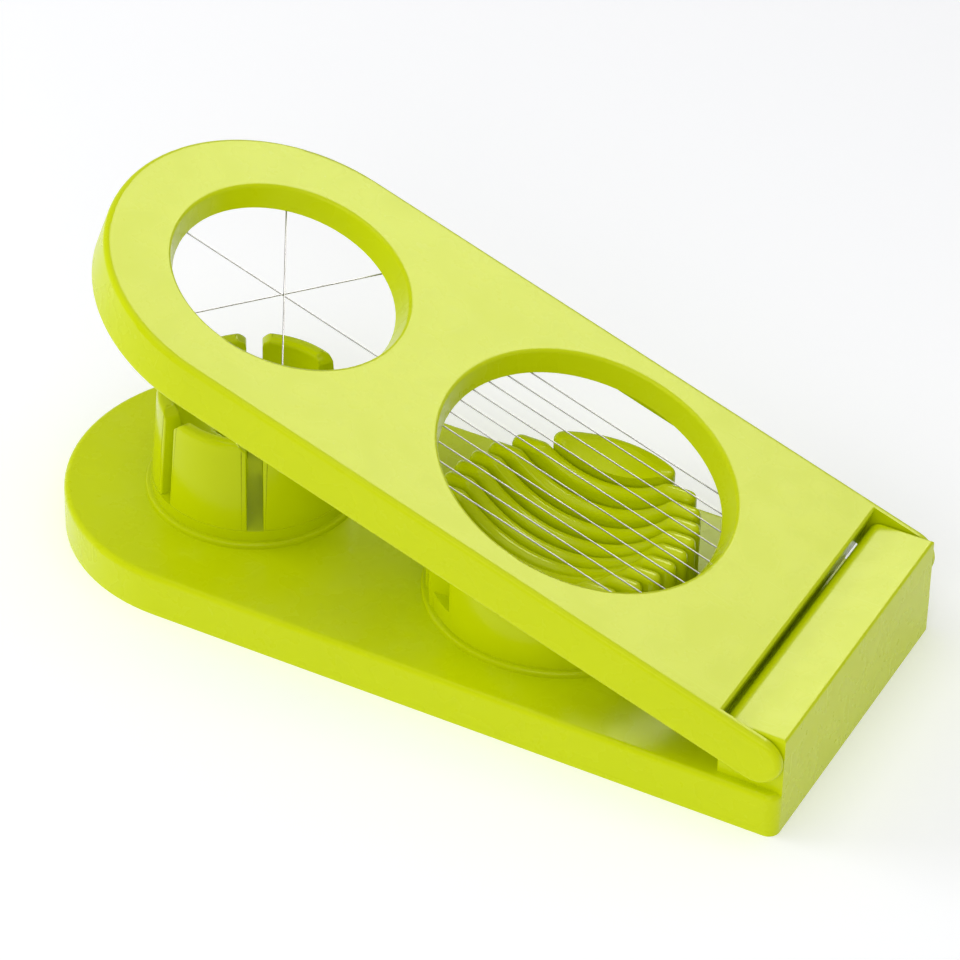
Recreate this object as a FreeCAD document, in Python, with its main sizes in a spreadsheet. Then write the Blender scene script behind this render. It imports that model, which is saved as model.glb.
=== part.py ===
import FreeCAD, Part

import math
import os
import re

import Sketcher
from FreeCAD import Placement, Rotation, Vector

# Two-way egg cutter: a hinged lid carries one set of parallel wires and one star of crossing
# wires over two slotted egg cups. Millimetres, +Z up, origin on the table under the middle of
# the base. The hinge lies at the +X end and its axis runs along Y.

SIZES = {
    # overall
    "base_length": 213,
    "body_width": 90,
    "plate_height": 12,
    "plate_top": 2.4,
    "wall": 2.4,
    "corner_radius": 3,
    "plate_edge": 1.5,
    "rib_width": 1.6,
    "rib_depth": 5.4,
    "rib_spread": 29,
    # hinge block and pins
    "block_depth": 17,
    "block_height": 28,
    "block_front_edge": 3.5,
    "block_edge": 0.8,
    "pin_grip": 7.4,
    "pin_diameter": 3.5,
    "pin_reach": 1.6,
    "pin_end_play": 0.2,
    "pin_chamfer": 0.4,
    "running_gap": 0.05,
    # lid
    "lid_thickness": 13.2,
    "pivot_height": 21.2,
    "rest_angle": 18.9,
    "lid_setback": 1.5,
    "lid_edge": 12.2,
    "lid_top": 2.4,
    "lid_fillet": 1.5,
    "arm_thickness": 2.2,
    "side_gap": 0.5,
    "collar_wall": 1.6,
    "collar_taper": 2,
    "rim_fillet": 1.0,
    # round windows in the lid, and the cups under them
    "wedge_window": 30,
    "slice_window": 37.8,
    "window_gap": 18,
    "wedge_offset": 3.1,
    # wires
    "wire_diameter": 0.36,
    "wire_stack": 0.4,
    "wire_hole_gap": 0.08,
    "collar_gap": 0.12,
    "wire_tail": 0.4,
    "wire_pitch": 5.34,
    "wire_count": 10,
    "ferrule_diameter": 1.8,
    "ferrule_length": 2,
    "ferrule_gap": 0.02,
    # carriers that hold the wires under the lid
    "carrier_low": 2.4,
    "carrier_high": 2.2,
    "carrier_gap": 0.3,
    "ring_width": 4.3,
    "ear_radius": 3.2,
    "ear_ring": 38.3,
    "frame_half_length": 43.4,
    "frame_side_gap": 0.5,
    "frame_corner": 3,
    "frame_screw_x": 37,
    "frame_screw_y": 36,
    "post_radius": 3,
    # self-tapping screws
    "lid_screw_diameter": 2.2,
    "lid_screw_head": 4.4,
    "lid_screw_head_height": 1.5,
    "lid_screw_length": 7,
    "cup_screw_diameter": 2.9,
    "cup_screw_head": 5.6,
    "cup_screw_head_height": 2,
    "cup_screw_length": 9,
    "screw_gap": 0.25,
    "pilot_gap": 0.05,
    "cup_pilot_spare": 1,
    "lid_pilot_spare": 0.25,
    # wedger cup, heights above the plate
    "wedge_foot_radius": 27.3,
    "foot_height": 1.5,
    "foot_edge": 0.7,
    "wedge_low_radius": 26,
    "wedge_top_radius": 24,
    "wedge_height": 29,
    "wedge_rim_wall": 4,
    "wedge_rim_edge": 1.4,
    "bowl_radius": 22,
    "bowl_bottom": 11,
    "bowl_mouth_radius": 19.4,
    "wedge_slot_width": 4,
    "wedge_slot_floor": 4.5,
    "petal_corner": 2.5,
    "core_wall": 2.3,
    "wedge_screw_ring": 16,
    # slicer cup, heights above the plate
    "slice_foot_radius": 34.2,
    "slice_low_radius": 33,
    "slice_top_radius": 32.6,
    "slice_height": 23.5,
    "slice_rim_edge": 2.4,
    "hollow_bottom": 11,
    "hollow_half_width": 25,
    "hollow_half_length": 28.4,
    "knob_radius": 3.6,
    "slat_edge": 1.9,
    "side_edge": 3,
    "slice_slot_width": 1.3,
    "slice_slot_floor": 6.5,
    "under_radius": 27,
    "under_depth": 4.5,
    "slice_screw_x": 12,
    "slice_screw_slat": 3,
}

doc = FreeCAD.newDocument("egg_slicer")
sheet = doc.addObject("Spreadsheet::Sheet", "Size")
for row, (alias, number) in enumerate(SIZES.items(), start=1):
    sheet.set(f"A{row}", alias)
    sheet.set(f"B{row}", str(number))
    sheet.setAlias(f"B{row}", alias)
doc.recompute()

# Lengths that follow from the driving sizes, written once as formulas.
HALF_LENGTH = "(base_length / 2)"
HALF_WIDTH = "(body_width / 2)"
BLOCK_HALF = "(body_width / 2 - arm_thickness - side_gap)"
ARM_INSIDE = "(body_width / 2 - arm_thickness)"
LID_HALF = "(lid_thickness / 2)"
PIVOT_X = "(base_length / 2 - lid_thickness / 2)"
LID_ROUND = "(base_length - lid_thickness / 2 - lid_setback - body_width / 2)"
WEDGE_REACH = "(base_length - lid_thickness / 2 - body_width / 2 - wedge_offset)"
SLICE_REACH = f"({WEDGE_REACH} - wedge_window - window_gap - slice_window)"
CARRIER_HEIGHT = "(carrier_low + carrier_high)"
RING_INSIDE = "(wedge_window + collar_wall + carrier_gap)"
RING_OUTSIDE = f"({RING_INSIDE} + ring_width)"
FRAME_HALF_WIDTH = "(body_width / 2 - wall - frame_side_gap)"
COLLAR_DEPTH = "(lid_thickness / 2 - wire_stack - wire_diameter / 2 - collar_gap)"
POST_HEIGHT = "(lid_thickness / 2 - lid_top - carrier_high)"
PILOT_RADIUS = "(lid_screw_diameter / 2 + pilot_gap)"
CUP_PILOT_RADIUS = "(cup_screw_diameter / 2 + pilot_gap)"
CUP_PILOT_DEPTH = "(cup_screw_length - plate_top + cup_pilot_spare)"
FIRST_WIRE_Y = "(-wire_pitch * (wire_count - 1) / 2)"
HOLLOW_DROP = "(slice_height - hollow_bottom)"
HOLLOW_RADIUS = f"((hollow_half_width ^ 2 + {HOLLOW_DROP} ^ 2) / (2 * {HOLLOW_DROP}))"
HOLLOW_SWEEP = f"((hollow_half_length ^ 2 + {HOLLOW_DROP} ^ 2) / (2 * {HOLLOW_DROP}))"

WEDGE_WIRE_ANGLES = (0, 60, 120)
WEDGE_SCREW_ANGLES = (30, 150, 270)
EAR_ANGLES = (90, 210, 330)
CORNERS = ((1, 1), (-1, 1), (-1, -1), (1, -1))


def formula(text):
    """Writes a formula with every size name led by the sheet's name."""
    def lead(match):
        word = match.group()
        return f"Size.{word}" if word in SIZES else word
    return re.sub(r"[a-z_]+", lead, str(text))


def bind(item, name, text):
    item.setExpression(name, formula(text))


def number_of(text):
    return float(sheet.evalExpression(formula(text)))


# ---------------------------------------------------------------- sketches and features

def new_body(label):
    body = doc.addObject("PartDesign::Body", label)
    body.Label = label
    return body


def seat_on_plate(body, reach):
    """Stands a cup on the base plate, a given distance from the hinge axis."""
    bind(body, "Placement.Base.x", f"{PIVOT_X} - {reach}")
    bind(body, "Placement.Base.z", "plate_height")


def seat_on_lid(body):
    """Puts a body drawn about the hinge axis, lid closed, into the half-open rest pose."""
    body.Placement = Placement(Vector(), Rotation(Vector(0, 1, 0), 1))
    bind(body, "Placement.Base.x", PIVOT_X)
    bind(body, "Placement.Base.z", "pivot_height")
    bind(body, "Placement.Rotation.Angle", "rest_angle")


def origin_part(body, role):
    return next(part for part in body.Origin.OriginFeatures if part.Role == role)


def new_sketch(body, name, role="XY_Plane", offset=(0, 0, 0), turn=0):
    """A sketch on one of the body's planes, moved by formulas in the plane's own axes."""
    sketch = body.newObject("Sketcher::SketchObject", name)
    sketch.AttachmentSupport = [(origin_part(body, role), "")]
    sketch.MapMode = "FlatFace"
    sketch.AttachmentOffset = Placement(Vector(), Rotation(Vector(0, 1, 0), turn))
    for axis, text in zip("xyz", offset):
        if text != 0:
            bind(sketch, f"AttachmentOffset.Base.{axis}", text)
    return sketch


def pin_point(sketch, shape, end, x_text, y_text):
    for kind, axis, text in (("DistanceX", -2, x_text), ("DistanceY", -1, y_text)):
        value = number_of(text)
        if abs(value) < 1e-9:
            sketch.addConstraint(Sketcher.Constraint("PointOnObject", shape, end, axis))
            continue
        index = sketch.addConstraint(Sketcher.Constraint(kind, shape, end, value))
        bind(sketch, f"Constraints[{index}]", text)


def draw_circle(sketch, x_text, y_text, radius_text):
    centre = Vector(number_of(x_text), number_of(y_text), 0)
    radius = number_of(radius_text)
    shape = sketch.addGeometry(Part.Circle(centre, Vector(0, 0, 1), radius))
    index = sketch.addConstraint(Sketcher.Constraint("Radius", shape, radius))
    bind(sketch, f"Constraints[{index}]", radius_text)
    pin_point(sketch, shape, 3, x_text, y_text)


def draw_outline(sketch, corners):
    """Draws a closed outline through (x, y) corners.

    A corner given as (x, y, radius, turn) starts an arc to the next corner, with turn 1
    for counter-clockwise and -1 for clockwise; the others start a straight line.
    """
    points = [Vector(number_of(corner[0]), number_of(corner[1]), 0) for corner in corners]
    ends = []
    for index, corner in enumerate(corners):
        start = points[index]
        finish = points[(index + 1) % len(points)]
        if len(corner) == 2:
            shape = sketch.addGeometry(Part.LineSegment(start, finish))
            ends.append((shape, 1, 2))
            continue
        radius = number_of(corner[2])
        turn = corner[3]
        chord = finish - start
        height = math.sqrt(max(radius ** 2 - (chord.Length / 2) ** 2, 0))
        left = Vector(-chord.y, chord.x, 0).normalize()
        centre = (start + finish) / 2 + left * (turn * height)
        first, last = (start, finish) if turn > 0 else (finish, start)
        from_angle = math.atan2(first.y - centre.y, first.x - centre.x)
        to_angle = math.atan2(last.y - centre.y, last.x - centre.x)
        circle = Part.Circle(centre, Vector(0, 0, 1), radius)
        shape = sketch.addGeometry(Part.ArcOfCircle(circle, from_angle, to_angle))
        ends.append((shape, 1, 2) if turn > 0 else (shape, 2, 1))
    for index, (shape, begin, end) in enumerate(ends):
        following = ends[(index + 1) % len(ends)]
        sketch.addConstraint(Sketcher.Constraint("Coincident", shape, end, following[0], following[1]))
        pin_point(sketch, shape, begin, corners[index][0], corners[index][1])
    for (shape, _, _), corner in zip(ends, corners):
        if len(corner) == 4:
            index = sketch.addConstraint(Sketcher.Constraint("Radius", shape, number_of(corner[2])))
            bind(sketch, f"Constraints[{index}]", corner[2])


def draw_box(sketch, low_x, high_x, low_y, high_y):
    draw_outline(sketch, [(low_x, low_y), (high_x, low_y), (high_x, high_y), (low_x, high_y)])


def add_feature(body, kind, name, sketch, length=None, reverse=False, both_ways=False):
    """A Pad or Pocket of one sketch; a Pocket with no length goes through everything."""
    feature = body.newObject(f"PartDesign::{kind}", name)
    feature.Profile = sketch
    feature.Reversed = reverse
    if both_ways:
        feature.SideType = "Symmetric"
    if length is None:
        feature.Type = "ThroughAll"
    else:
        bind(feature, "Length", length)
    volume_before = body.Shape.Volume if body.Shape.Solids else 0
    doc.recompute()
    gained = body.Shape.Volume > volume_before
    if gained != (kind == "Pad") or body.Shape.Volume == volume_before:
        raise ValueError(f"{name} changed nothing")
    return feature


def add_turned(body, kind, name, sketch, axis):
    """A Revolution or Groove of one sketch, a full turn about one of the sketch's axes."""
    feature = body.newObject(f"PartDesign::{kind}", name)
    feature.Profile = sketch
    feature.ReferenceAxis = (sketch, [axis])
    feature.Angle = 360
    doc.recompute()
    return feature


def add_circle_pattern(body, name, feature, step, count):
    """Repeats a feature about the body's Z axis, one copy each step degrees."""
    pattern = body.newObject("PartDesign::PolarPattern", name)
    pattern.Originals = [feature]
    pattern.Axis = (origin_part(body, "Z_Axis"), [""])
    pattern.Angle = step * (count - 1)
    pattern.Occurrences = count
    body.Tip = pattern
    doc.recompute()
    return pattern


def add_wire_pattern(body, name, feature):
    """Repeats a feature along Y, once for each slicer wire."""
    pattern = body.newObject("PartDesign::LinearPattern", name)
    pattern.Originals = [feature]
    pattern.Direction = (origin_part(body, "Y_Axis"), [""])
    bind(pattern, "Length", "wire_pitch * (wire_count - 1)")
    bind(pattern, "Occurrences", "wire_count")
    body.Tip = pattern
    doc.recompute()
    return pattern


def add_fillet(body, name, radius, wanted):
    """Rounds the edges whose every sample point passes the test."""
    shape = body.Shape.copy()
    shape.Placement = Placement()
    names = []
    for index, edge in enumerate(shape.Edges, start=1):
        if all(wanted(point) for point in edge.discretize(7)):
            names.append(f"Edge{index}")
    if not names:
        raise ValueError(f"{name} found no edge")
    rounded = body.Tip
    fillet = body.newObject("PartDesign::Fillet", name)
    fillet.Base = (rounded, names)
    bind(fillet, "Radius", radius)
    doc.recompute()
    return fillet


def near(value, target, margin=1e-3):
    return abs(value - target) < margin


# ---------------------------------------------------------------- base

def screw_places(reach, places):
    return [(f"({PIVOT_X} - {reach} + {x_text})", y_text) for x_text, y_text in places]


def ring_places(ring, angles):
    return [(f"({ring} * cos({angle} deg))", f"({ring} * sin({angle} deg))") for angle in angles]


WEDGE_SCREWS = ring_places("wedge_screw_ring", WEDGE_SCREW_ANGLES)
SLICE_SCREWS = [(f"({side_x} * slice_screw_x)", f"({side_y} * slice_screw_slat * wire_pitch)")
                for side_x, side_y in CORNERS]
CUP_SCREWS = screw_places(WEDGE_REACH, WEDGE_SCREWS) + screw_places(SLICE_REACH, SLICE_SCREWS)


def plate_outline(inset, corner):
    """The base seen from above: square at the hinge, a half circle at the free end."""
    side = f"({HALF_WIDTH} - {inset})"
    end = f"({HALF_LENGTH} - {inset})"
    centre = f"({HALF_WIDTH} - {HALF_LENGTH})"
    return [
        (end, f"{corner} - {side}"),
        (end, f"{side} - {corner}", corner, 1),
        (f"{end} - {corner}", side),
        (centre, side, side, 1),
        (f"{centre} - {side}", "0", side, 1),
        (centre, f"-{side}"),
        (f"{end} - {corner}", f"-{side}", corner, 1),
    ]


def make_base_shell():
    body = new_body("base_shell")
    sketch = new_sketch(body, "plate_outline")
    draw_outline(sketch, plate_outline("0", "corner_radius"))
    add_feature(body, "Pad", "plate", sketch, "plate_height")
    plate_z = number_of("plate_height")
    add_fillet(body, "plate_rounding", "plate_edge", lambda point: near(point.z, plate_z))

    block_front = f"{HALF_LENGTH} - block_depth"
    sketch = new_sketch(body, "block_outline")
    draw_box(sketch, block_front, HALF_LENGTH, f"-{BLOCK_HALF}", BLOCK_HALF)
    add_feature(body, "Pad", "hinge_block", sketch, "block_height")
    top_z = number_of("block_height")
    front_x = number_of(block_front)
    add_fillet(body, "block_front_rounding", "block_front_edge",
               lambda point: near(point.z, top_z) and near(point.x, front_x))
    end_x = number_of(HALF_LENGTH)
    side_y = number_of(BLOCK_HALF)
    add_fillet(body, "block_rounding", "block_edge",
               lambda point: near(point.z, top_z) and (near(point.x, end_x) or near(abs(point.y), side_y)))

    sketch = new_sketch(body, "hollow_outline")
    draw_outline(sketch, plate_outline("wall", "(corner_radius - wall)"))
    add_feature(body, "Pocket", "underside", sketch, "plate_height - plate_top", reverse=True)

    sketch = new_sketch(body, "block_hollow_outline")
    draw_box(sketch, f"{block_front} + wall", f"{HALF_LENGTH} - wall",
             f"pin_grip - {BLOCK_HALF}", f"{BLOCK_HALF} - pin_grip")
    add_feature(body, "Pocket", "block_hollow", sketch, "block_height - wall", reverse=True)

    sketch = new_sketch(body, "rib_outline", offset=(0, 0, "plate_height - plate_top"))
    for middle in ("-rib_spread", "0", "rib_spread"):
        draw_box(sketch, f"{HALF_WIDTH} - {HALF_LENGTH}", f"{block_front}",
                 f"{middle} - rib_width / 2", f"{middle} + rib_width / 2")
    add_feature(body, "Pad", "ribs", sketch, "rib_depth", reverse=True)

    sketch = new_sketch(body, "screw_hole_outline")
    for x_text, y_text in CUP_SCREWS:
        draw_circle(sketch, x_text, y_text, "cup_screw_diameter / 2 + screw_gap")
    add_feature(body, "Pocket", "screw_holes", sketch, "plate_height", reverse=True)

    sketch = new_sketch(body, "pin_bore_outline", "XZ_Plane")
    draw_circle(sketch, PIVOT_X, "pivot_height", "pin_diameter / 2")
    add_feature(body, "Pocket", "pin_bore", sketch, both_ways=True)
    return body


def make_hinge_pin(label, side):
    """A stub pin gripped by the block; its outer end turns in a blind hole in the lid's arm."""
    body = new_body(label)
    length = "(pin_grip + side_gap + pin_reach - pin_end_play)"
    sketch = new_sketch(body, "pin_profile", "YZ_Plane")
    draw_outline(sketch, [
        ("0", "0"),
        (length, "0"),
        (length, "pin_diameter / 2 - pin_chamfer"),
        (f"{length} - pin_chamfer", "pin_diameter / 2"),
        ("pin_chamfer", "pin_diameter / 2"),
        ("0", "pin_diameter / 2 - pin_chamfer"),
    ])
    add_turned(body, "Revolution", "pin", sketch, "H_Axis")
    body.Placement = Placement(Vector(), Rotation(Vector(0, 0, 1), 0 if side > 0 else 180))
    bind(body, "Placement.Base.x", PIVOT_X)
    bind(body, "Placement.Base.y", f"{side} * ({BLOCK_HALF} - pin_grip)")
    bind(body, "Placement.Base.z", "pivot_height")
    return body


# ---------------------------------------------------------------- cups

def foot_profile(foot_radius, wall_radius):
    """The lower part of a cup's half section: a thin round foot, then the wall."""
    return [
        ("0", "0"),
        (foot_radius, "0"),
        (foot_radius, "foot_height - foot_edge", "foot_edge", 1),
        (f"{foot_radius} - foot_edge", "foot_height"),
        (wall_radius, "foot_height"),
    ]


def add_pilot_holes(body, places):
    sketch = new_sketch(body, "pilot_outline")
    for x_text, y_text in places:
        draw_circle(sketch, x_text, y_text, CUP_PILOT_RADIUS)
    add_feature(body, "Pocket", "pilot_holes", sketch, CUP_PILOT_DEPTH, reverse=True)


def make_wedger_cup():
    """Six upright petals round a bowl, with three slots crossing at the middle."""
    body = new_body("wedger_cup")
    rim = "wedge_rim_edge"
    rim_inside = "(wedge_top_radius - wedge_rim_wall)"
    mouth_z = "(bowl_bottom + bowl_radius - sqrt(bowl_radius ^ 2 - bowl_mouth_radius ^ 2))"
    sketch = new_sketch(body, "petal_profile", "XZ_Plane")
    draw_outline(sketch, foot_profile("wedge_foot_radius", "wedge_low_radius") + [
        ("wedge_top_radius", f"wedge_height - {rim}", rim, 1),
        (f"wedge_top_radius - {rim}", "wedge_height"),
        (f"{rim_inside} + {rim}", "wedge_height", rim, 1),
        (rim_inside, f"wedge_height - {rim}"),
        ("bowl_mouth_radius", mouth_z, "bowl_radius", -1),
        ("0", "bowl_bottom"),
    ])
    add_turned(body, "Revolution", "cup", sketch, "V_Axis")

    half_slot = "wedge_slot_width / 2"
    corner = "petal_corner"
    sketch = new_sketch(body, "slot_profile", "YZ_Plane")
    draw_outline(sketch, [
        (f"-{half_slot}", "wedge_slot_floor"),
        (half_slot, "wedge_slot_floor"),
        (half_slot, f"wedge_height - {corner}", corner, -1),
        (f"{half_slot} + {corner}", "wedge_height"),
        (f"{half_slot} + {corner}", "wedge_height + 1"),
        (f"-{half_slot} - {corner}", "wedge_height + 1"),
        (f"-{half_slot} - {corner}", "wedge_height", corner, -1),
        (f"-{half_slot}", f"wedge_height - {corner}"),
    ])
    slot = add_feature(body, "Pocket", "slot", sketch, both_ways=True)
    add_circle_pattern(body, "slots", slot, 60, len(WEDGE_WIRE_ANGLES))

    # Every second petal is cored from below; the other three are solid and take the screws.
    clear = "(wedge_slot_width / 2 + core_wall)"
    outside = "(wedge_top_radius - core_wall)"
    along = f"sqrt({outside} ^ 2 - {clear} ^ 2)"
    core_x = f"({along} * cos(60 deg) - {clear} * sin(60 deg))"
    core_y = f"({along} * sin(60 deg) + {clear} * cos(60 deg))"
    sketch = new_sketch(body, "core_outline")
    draw_outline(sketch, [
        ("0", f"{clear} / sin(30 deg)"),
        (core_x, core_y, outside, 1),
        (f"-{core_x}", core_y),
    ])
    core = add_feature(body, "Pocket", "core", sketch, "bowl_bottom - core_wall", reverse=True)
    add_circle_pattern(body, "cores", core, 120, len(WEDGE_SCREW_ANGLES))
    add_pilot_holes(body, WEDGE_SCREWS)
    seat_on_plate(body, WEDGE_REACH)
    return body


def slat_outline(y_text):
    """One slat seen along Y: a knob at each end and the egg hollow's arc between them."""
    hollow = f"(sqrt({HOLLOW_SWEEP} ^ 2 - ({y_text}) ^ 2) - {HOLLOW_SWEEP} + {HOLLOW_RADIUS})"
    axis_height = f"(hollow_bottom + {HOLLOW_RADIUS})"
    centre_z = "(slice_height - knob_radius)"
    centre_x = f"sqrt(({hollow} + knob_radius) ^ 2 - ({axis_height} - {centre_z}) ^ 2)"
    share = f"({hollow} / ({hollow} + knob_radius))"
    meet_x = f"({centre_x} * {share})"
    meet_z = f"({axis_height} - ({axis_height} - {centre_z}) * {share})"
    end = "slice_foot_radius"
    return [
        (f"-{end}", "slice_slot_floor"),
        (end, "slice_slot_floor"),
        (end, "slice_height"),
        (centre_x, "slice_height", "knob_radius", 1),
        (meet_x, meet_z, hollow, -1),
        (f"-{meet_x}", meet_z, "knob_radius", 1),
        (f"-{centre_x}", "slice_height"),
        (f"-{end}", "slice_height"),
    ]


def make_slicer_cup():
    """A round block of parallel slats, hollowed on top for an egg lying across the slots."""
    body = new_body("slicer_cup")
    sketch = new_sketch(body, "foot_profile", "XZ_Plane")
    draw_outline(sketch, foot_profile("slice_foot_radius", "slice_low_radius") + [
        ("slice_low_radius", "slice_slot_floor"),
        ("0", "slice_slot_floor"),
    ])
    add_turned(body, "Revolution", "foot", sketch, "V_Axis")

    # The slats stand between the wires; the two outermost ones fill up to the round wall.
    slats = int(number_of("wire_count")) - 1
    for index in range(slats):
        middle = f"({FIRST_WIRE_Y} + ({index} + 0.5) * wire_pitch)"
        width = "(wire_pitch - slice_slot_width)"
        sketch = new_sketch(body, f"slat_outline_{index + 1}", "XZ_Plane",
                            offset=(0, 0, f"-{middle} - {width} / 2"))
        draw_outline(sketch, slat_outline(middle))
        add_feature(body, "Pad", f"slat_{index + 1}", sketch, width)
    inside = f"(slice_slot_width / 2 - {FIRST_WIRE_Y})"
    for name, plane_offset in (("near_side", inside), ("far_side", "-slice_foot_radius")):
        sketch = new_sketch(body, f"{name}_outline", "XZ_Plane", offset=(0, 0, plane_offset))
        draw_box(sketch, "-slice_foot_radius", "slice_foot_radius", "slice_slot_floor", "slice_height")
        add_feature(body, "Pad", name, sketch, f"slice_foot_radius - {inside}")

    floor_z = number_of("slice_slot_floor")
    side_y = number_of(inside)
    slot_faces = [number_of(f"{FIRST_WIRE_Y} + {index} * wire_pitch + {side} * slice_slot_width / 2")
                  for index in range(slats + 1) for side in (-1, 1)]

    def on_slat_top(point):
        return point.z > floor_z + 1 and any(near(point.y, face) for face in slot_faces)

    def on_slat(point):
        return on_slat_top(point) and abs(point.y) < side_y - 1

    def on_side(point):
        return on_slat_top(point) and near(abs(point.y), side_y)

    add_fillet(body, "slat_rounding", "slat_edge", on_slat)
    add_fillet(body, "side_rounding", "side_edge", on_side)

    rim = "slice_rim_edge"
    beyond = "(2 * slice_foot_radius)"
    sketch = new_sketch(body, "outside_profile", "XZ_Plane")
    draw_outline(sketch, [
        ("slice_low_radius", "foot_height"),
        (beyond, "foot_height"),
        (beyond, "slice_height + 1"),
        (f"slice_top_radius - {rim}", "slice_height + 1"),
        (f"slice_top_radius - {rim}", "slice_height", rim, -1),
        ("slice_top_radius", f"slice_height - {rim}"),
    ])
    add_turned(body, "Groove", "outside", sketch, "V_Axis")

    sketch = new_sketch(body, "under_outline")
    draw_circle(sketch, "0", "0", "under_radius")
    for x_text, y_text in SLICE_SCREWS:
        draw_circle(sketch, x_text, y_text, "post_radius")
    add_feature(body, "Pocket", "under_hollow", sketch, "under_depth", reverse=True)
    add_pilot_holes(body, SLICE_SCREWS)
    seat_on_plate(body, SLICE_REACH)
    return body


# ---------------------------------------------------------------- lid

WEDGE_EARS = ring_places("ear_ring", EAR_ANGLES)
FRAME_SCREWS = [(f"({side_x} * frame_screw_x)", f"({side_y} * frame_screw_y)")
                for side_x, side_y in CORNERS]


def moved(reach, places):
    """Places given about a window's middle, moved to the lid's own frame."""
    return [(f"({x_text} - {reach})", y_text) for x_text, y_text in places]


LID_SCREWS = moved(WEDGE_REACH, WEDGE_EARS) + moved(SLICE_REACH, FRAME_SCREWS)


def lid_outline(inset):
    side = f"({HALF_WIDTH} - {inset})"
    return [
        (f"-lid_edge - {inset}", f"-{side}"),
        (f"-lid_edge - {inset}", side),
        (f"-{LID_ROUND}", side, side, 1),
        (f"-{LID_ROUND} - {side}", "0", side, 1),
        (f"-{LID_ROUND}", f"-{side}"),
    ]


def make_lid_shell():
    body = new_body("lid_shell")
    sketch = new_sketch(body, "lid_outline", offset=(0, 0, f"-{LID_HALF}"))
    draw_outline(sketch, lid_outline("0"))
    add_feature(body, "Pad", "lid", sketch, "lid_thickness")

    for name, plane_offset in (("near_arm", ARM_INSIDE), ("far_arm", f"-{HALF_WIDTH}")):
        sketch = new_sketch(body, f"{name}_outline", "XZ_Plane", offset=(0, 0, plane_offset))
        draw_outline(sketch, [
            ("-lid_edge - wall", f"-{LID_HALF}"),
            ("0", f"-{LID_HALF}", LID_HALF, 1),
            (LID_HALF, "0", LID_HALF, 1),
            ("0", LID_HALF),
            ("-lid_edge - wall", LID_HALF),
        ])
        add_feature(body, "Pad", name, sketch, "arm_thickness")

    top = number_of(LID_HALF)
    side = number_of(HALF_WIDTH)
    arm_inside = number_of(ARM_INSIDE)
    round_x = -number_of(LID_ROUND)
    edge_x = -number_of("lid_edge")

    def on_outside(point):
        on_face = near(abs(point.z), top) or point.x > edge_x
        on_round = point.x < round_x + 1e-3 and near(math.hypot(point.x - round_x, point.y), side)
        return on_face and (near(abs(point.y), side) or on_round)

    def on_hinge_edge(point):
        return near(abs(point.z), top) and near(point.x, edge_x) and abs(point.y) < arm_inside + 1e-3

    add_fillet(body, "lid_rounding", "lid_fillet", on_outside)
    add_fillet(body, "hinge_edge_rounding", "block_edge", on_hinge_edge)

    sketch = new_sketch(body, "cavity_outline", offset=(0, 0, f"-{LID_HALF}"))
    draw_outline(sketch, lid_outline("wall"))
    draw_circle(sketch, f"-{WEDGE_REACH}", "0", "wedge_window + collar_wall")
    draw_circle(sketch, f"-{SLICE_REACH}", "0", "slice_window + collar_wall")
    add_feature(body, "Pocket", "cavity", sketch, "lid_thickness - lid_top", reverse=True)

    sketch = new_sketch(body, "collar_trim_outline", offset=(0, 0, f"-{LID_HALF}"))
    draw_circle(sketch, f"-{WEDGE_REACH}", "0", "wedge_window + collar_wall + carrier_gap / 2")
    draw_circle(sketch, f"-{SLICE_REACH}", "0", "slice_window + collar_wall + carrier_gap / 2")
    add_feature(body, "Pocket", "collar_trim", sketch, f"lid_thickness - {COLLAR_DEPTH}", reverse=True)

    # Each window narrows a little downwards, and its collar ends just above the wires.
    for name, reach, window in (("wedge_opening", WEDGE_REACH, "wedge_window"),
                                ("slice_opening", SLICE_REACH, "slice_window")):
        sketch = new_sketch(body, f"{name}_profile", "XZ_Plane", offset=(f"-{reach}", 0, 0))
        draw_outline(sketch, [
            ("0", LID_HALF),
            (window, LID_HALF),
            (f"{window} - collar_taper", f"{LID_HALF} - {COLLAR_DEPTH}"),
            ("0", f"{LID_HALF} - {COLLAR_DEPTH}"),
        ])
        add_turned(body, "Groove", name, sketch, "V_Axis")

    centres = [(-number_of(WEDGE_REACH), number_of("wedge_window")),
               (-number_of(SLICE_REACH), number_of("slice_window"))]

    def on_rim(point):
        return near(point.z, top) and any(
            near(math.hypot(point.x - centre, point.y), radius) for centre, radius in centres)

    add_fillet(body, "rim_rounding", "rim_fillet", on_rim)

    ceiling = f"{LID_HALF} - lid_top"
    sketch = new_sketch(body, "post_outline", offset=(0, 0, ceiling))
    for x_text, y_text in LID_SCREWS:
        draw_circle(sketch, x_text, y_text, "post_radius")
    add_feature(body, "Pad", "screw_posts", sketch, POST_HEIGHT, reverse=True)

    sketch = new_sketch(body, "pilot_outline", offset=(0, 0, "carrier_high"))
    for x_text, y_text in LID_SCREWS:
        draw_circle(sketch, x_text, y_text, PILOT_RADIUS)
    add_feature(body, "Pocket", "pilot_holes", sketch,
                "lid_screw_length - carrier_low - carrier_high + lid_pilot_spare", reverse=True)

    sketch = new_sketch(body, "pin_hole_outline", "XZ_Plane")
    draw_circle(sketch, "0", "0", "pin_diameter / 2 + running_gap")
    add_feature(body, "Pocket", "pin_holes", sketch, f"2 * ({ARM_INSIDE} + pin_reach)", both_ways=True)
    seat_on_lid(body)
    return body


def wedge_wire_height(index):
    """The three wires of the star lie on top of one another where they cross."""
    return f"({index - 2} * wire_stack)"


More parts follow.
